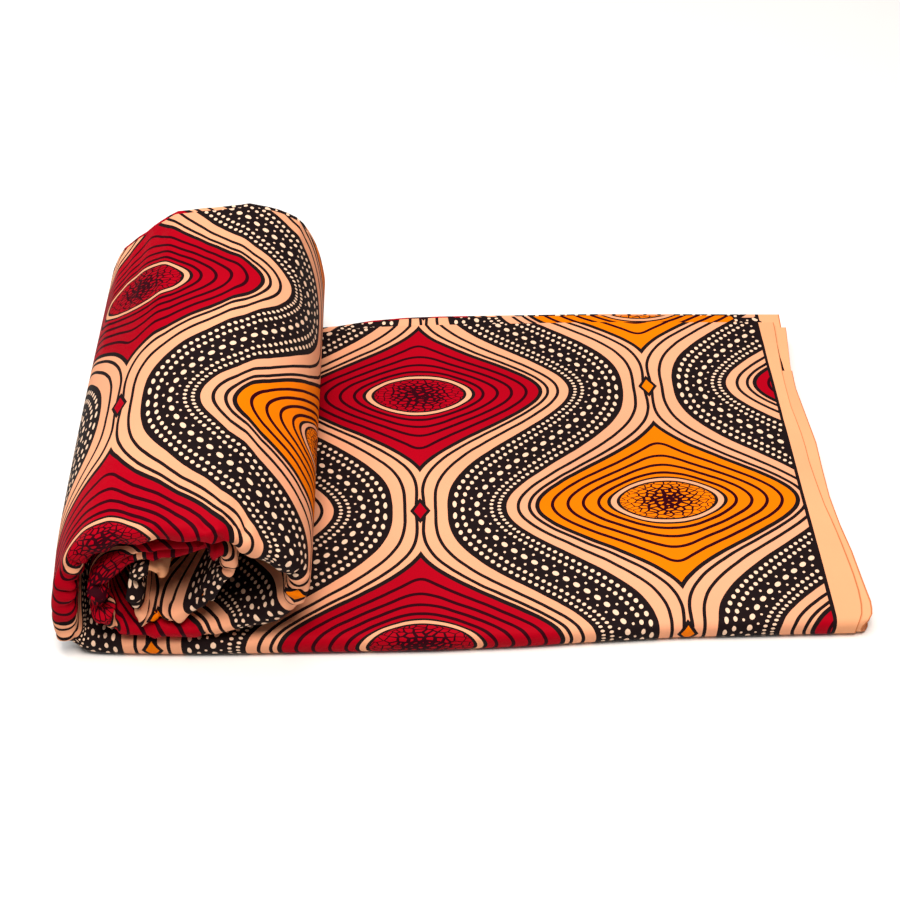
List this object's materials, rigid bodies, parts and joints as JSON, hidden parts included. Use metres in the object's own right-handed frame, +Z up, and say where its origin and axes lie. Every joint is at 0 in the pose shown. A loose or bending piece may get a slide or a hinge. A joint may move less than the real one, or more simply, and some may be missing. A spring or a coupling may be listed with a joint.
{
  "type": "folded wax print cloth",
  "caption": "Length of wax-printed cotton cloth folded to and fro into a flat band, with one end rolled up over it in loose turns.",
  "frame": {"origin": "middle of the footprint, on the surface that the cloth lies on", "axes": "+X along the folded band, towards the selvedges at its flat end; +Y from the near fold to the far leaf edges; +Z up"},
  "size_m": [0.4857, 0.287, 0.1219],
  "materials": {
    "orange_print": "smooth printed cotton, slightly waxed",
    "peach_cotton": "smooth printed cotton, slightly waxed",
    "red_print": "smooth printed cotton, slightly waxed",
    "black_print": "smooth printed cotton, slightly waxed",
    "amber_print": "smooth printed cotton, slightly waxed"
  },
  "bodies": {
    "root": {"flat_stretch": "orange_print", "hidden_layers": "peach_cotton", "outer_turn": "red_print", "second_turn": "black_print", "core_turn": "amber_print"}
  },
  "joints": []
}
